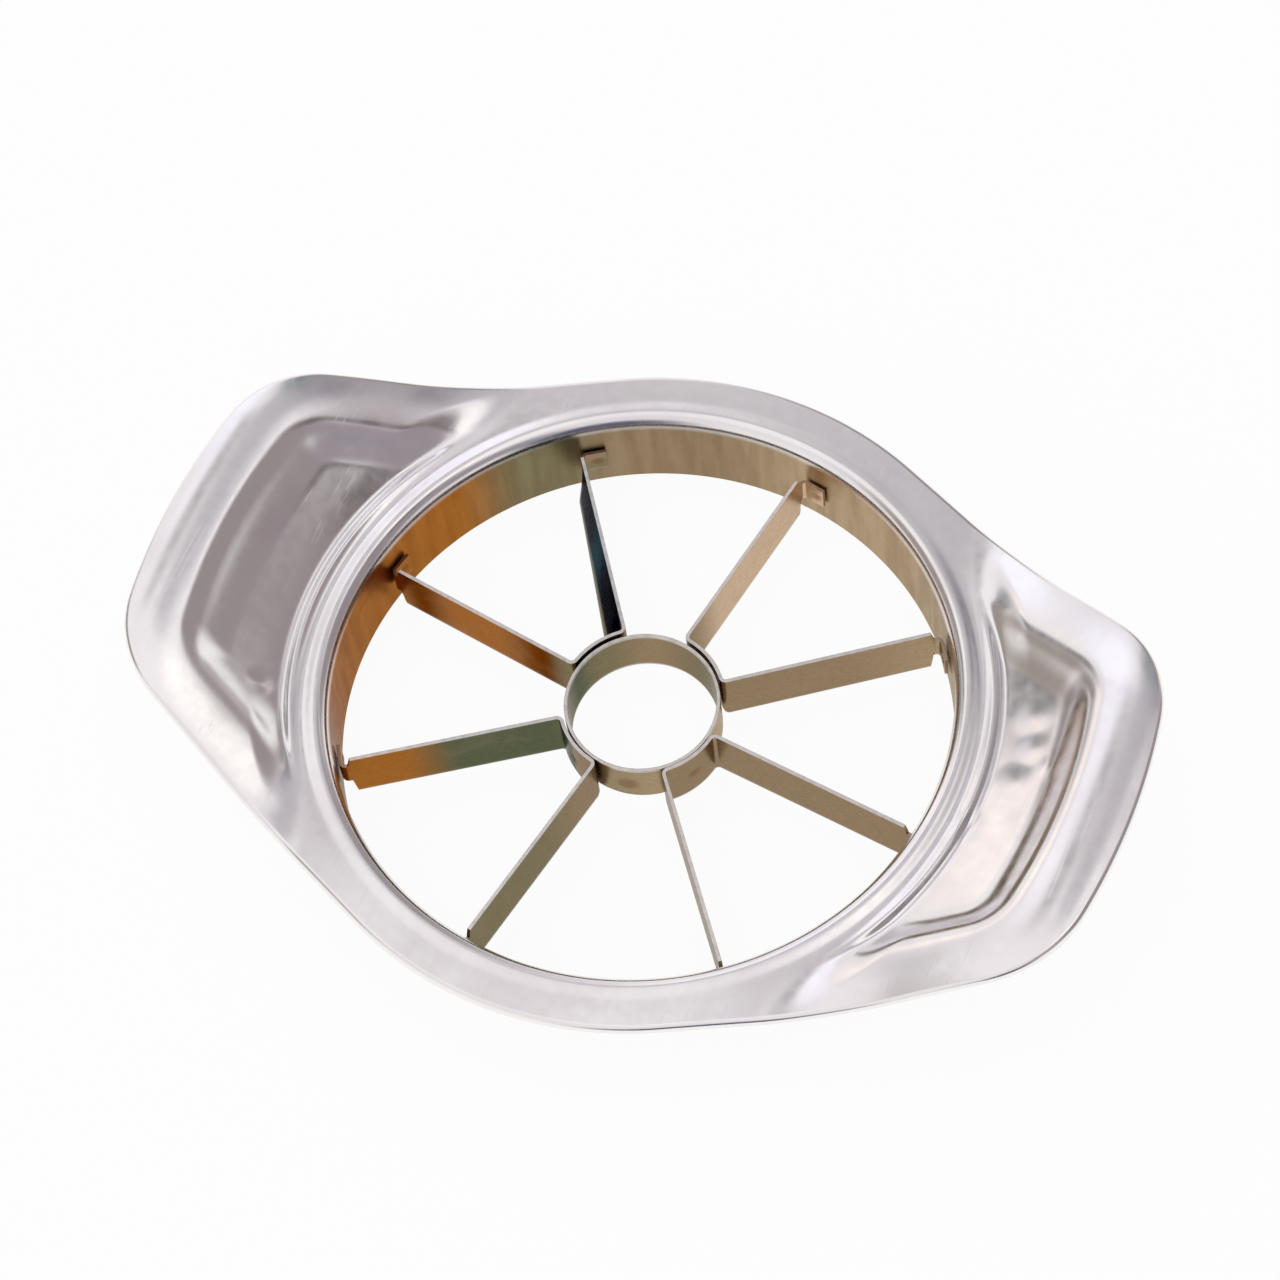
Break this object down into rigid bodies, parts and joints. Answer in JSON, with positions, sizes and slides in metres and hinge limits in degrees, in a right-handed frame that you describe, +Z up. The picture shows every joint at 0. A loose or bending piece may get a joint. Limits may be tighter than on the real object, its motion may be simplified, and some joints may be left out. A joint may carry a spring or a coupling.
{
  "type": "apple slicer and corer",
  "caption": "Round pressed-steel apple slicer with a core ring, radial blades and two raised wing grips with finger pockets.",
  "frame": {"origin": "on the collar's axis, level with the collar's lower edge that the tool stands on", "axes": "+X along the two wings, +Y across them, +Z up, away from the cutting edges"},
  "size_m": [0.1638, 0.1186, 0.0275],
  "materials": {
    "polished_steel": "polished stainless sheet with faint brushing",
    "core_steel": "bright rolled strip",
    "blade_steel": "bright rolled strip with ground lower edge"
  },
  "bodies": {
    "root": {"body": "polished_steel", "core_ring": "core_steel", "blade_strip_1": "blade_steel", "blade_strip_2": "blade_steel", "blade_strip_3": "blade_steel", "blade_strip_4": "blade_steel"}
  },
  "joints": []
}
